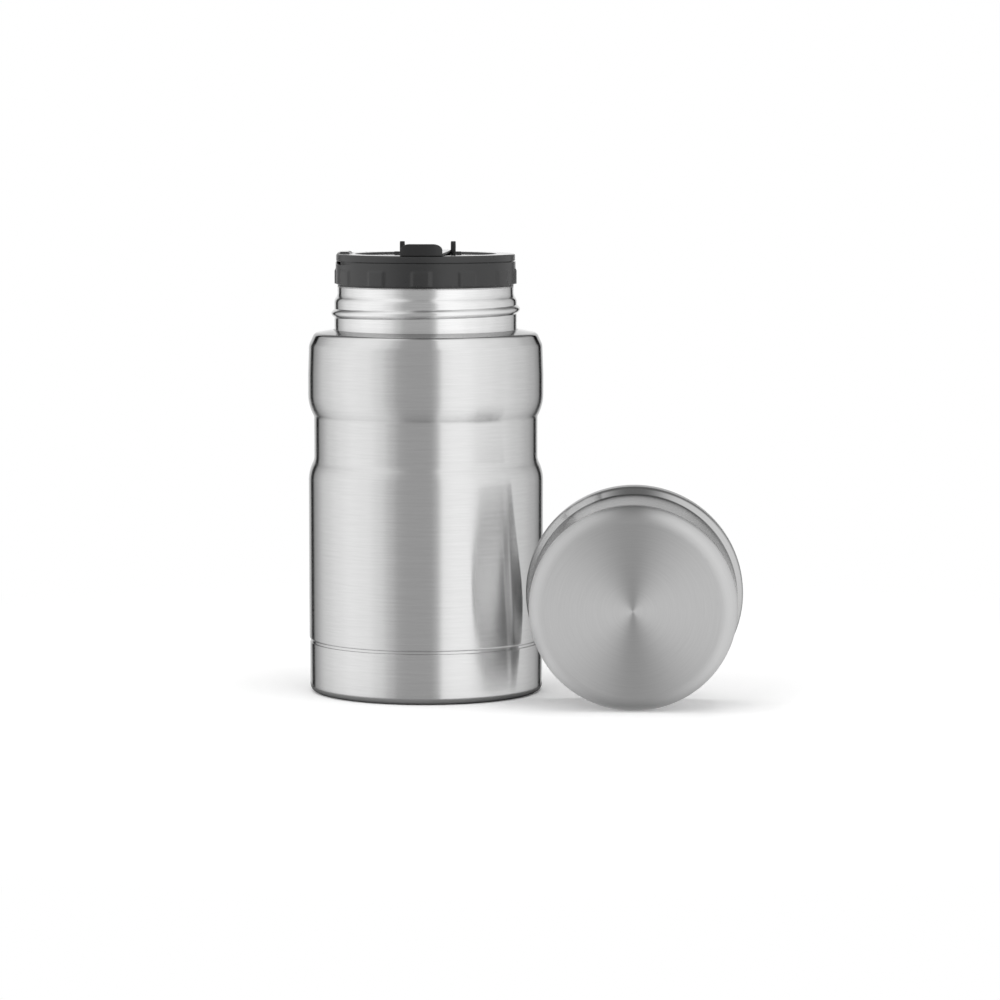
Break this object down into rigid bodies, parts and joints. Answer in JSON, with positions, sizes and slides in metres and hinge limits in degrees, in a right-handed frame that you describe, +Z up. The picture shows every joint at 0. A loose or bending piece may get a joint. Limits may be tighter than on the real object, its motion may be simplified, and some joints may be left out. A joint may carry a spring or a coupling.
{
  "type": "insulated food jar",
  "caption": "Double-walled steel food jar with a waist, a screw stopper with a flip cover over its sip tube, and a double-walled steel cup lying taken off beside it.",
  "frame": {"origin": "on the table, at the centre of the jar's foot", "axes": "+Z up along the jar's axis, -Y to the front, where the closed face of the lying cup points, +X to the right, where the cup lies"},
  "size_m": [0.1837, 0.1272, 0.1916],
  "materials": {
    "body_steel": "satin",
    "neck_steel": "polished",
    "cup_steel": "satin",
    "bowl_steel": "satin",
    "pin_steel": "polished",
    "solder": "matte",
    "getter_metal": "matte",
    "foil": "polished",
    "stopper_plastic": "satin",
    "cover_plastic": "satin",
    "silicone": "matte",
    "foam": "matte"
  },
  "bodies": {
    "jar": {"outer_shell": "body_steel", "base_cap": "body_steel", "base_disc": "body_steel", "vacuum_seal": "solder", "getter": "getter_metal", "liner": "bowl_steel", "reflector_foil": "foil", "neck_sleeve": "neck_steel"},
    "gasket_ring": {"rim_gasket": "silicone"},
    "stopper": {"stopper_body": "stopper_plastic", "stopper_foam": "foam", "stopper_top": "stopper_plastic", "sip_tube": "stopper_plastic", "tube_seal": "silicone", "hinge_pin": "pin_steel"},
    "flip_cover": {"flip_cover": "cover_plastic", "sip_seal": "silicone"},
    "cup": {"cup_shell": "cup_steel", "cup_liner": "bowl_steel"}
  },
  "joints": [
    {"name": "stopper_lift", "type": "slide", "parent": "jar", "child": "gasket_ring", "axis": [0, 0, 1], "range_m": [0, 0.0241]},
    {"name": "stopper_turn", "type": "hinge", "parent": "gasket_ring", "child": "stopper", "pos_m": [0, 0, 0.1731], "axis": [0, 0, 1], "range_deg": [0, 720]},
    {"name": "flip_cover_hinge", "type": "hinge", "parent": "stopper", "child": "flip_cover", "pos_m": [0.00059, 0.01889, 0.1858], "axis": [-0.9995, 0.0314, 0], "range_deg": [0, 105]},
    {"name": "cup_lift", "type": "slide", "parent": "jar", "child": "cup", "axis": [0, 0, 1], "range_m": [0, 0.12]}
  ],
  "couplings": [
    {"joint": "stopper_lift", "follows": "stopper_turn", "m_per_rad": 0.0019099}
  ]
}
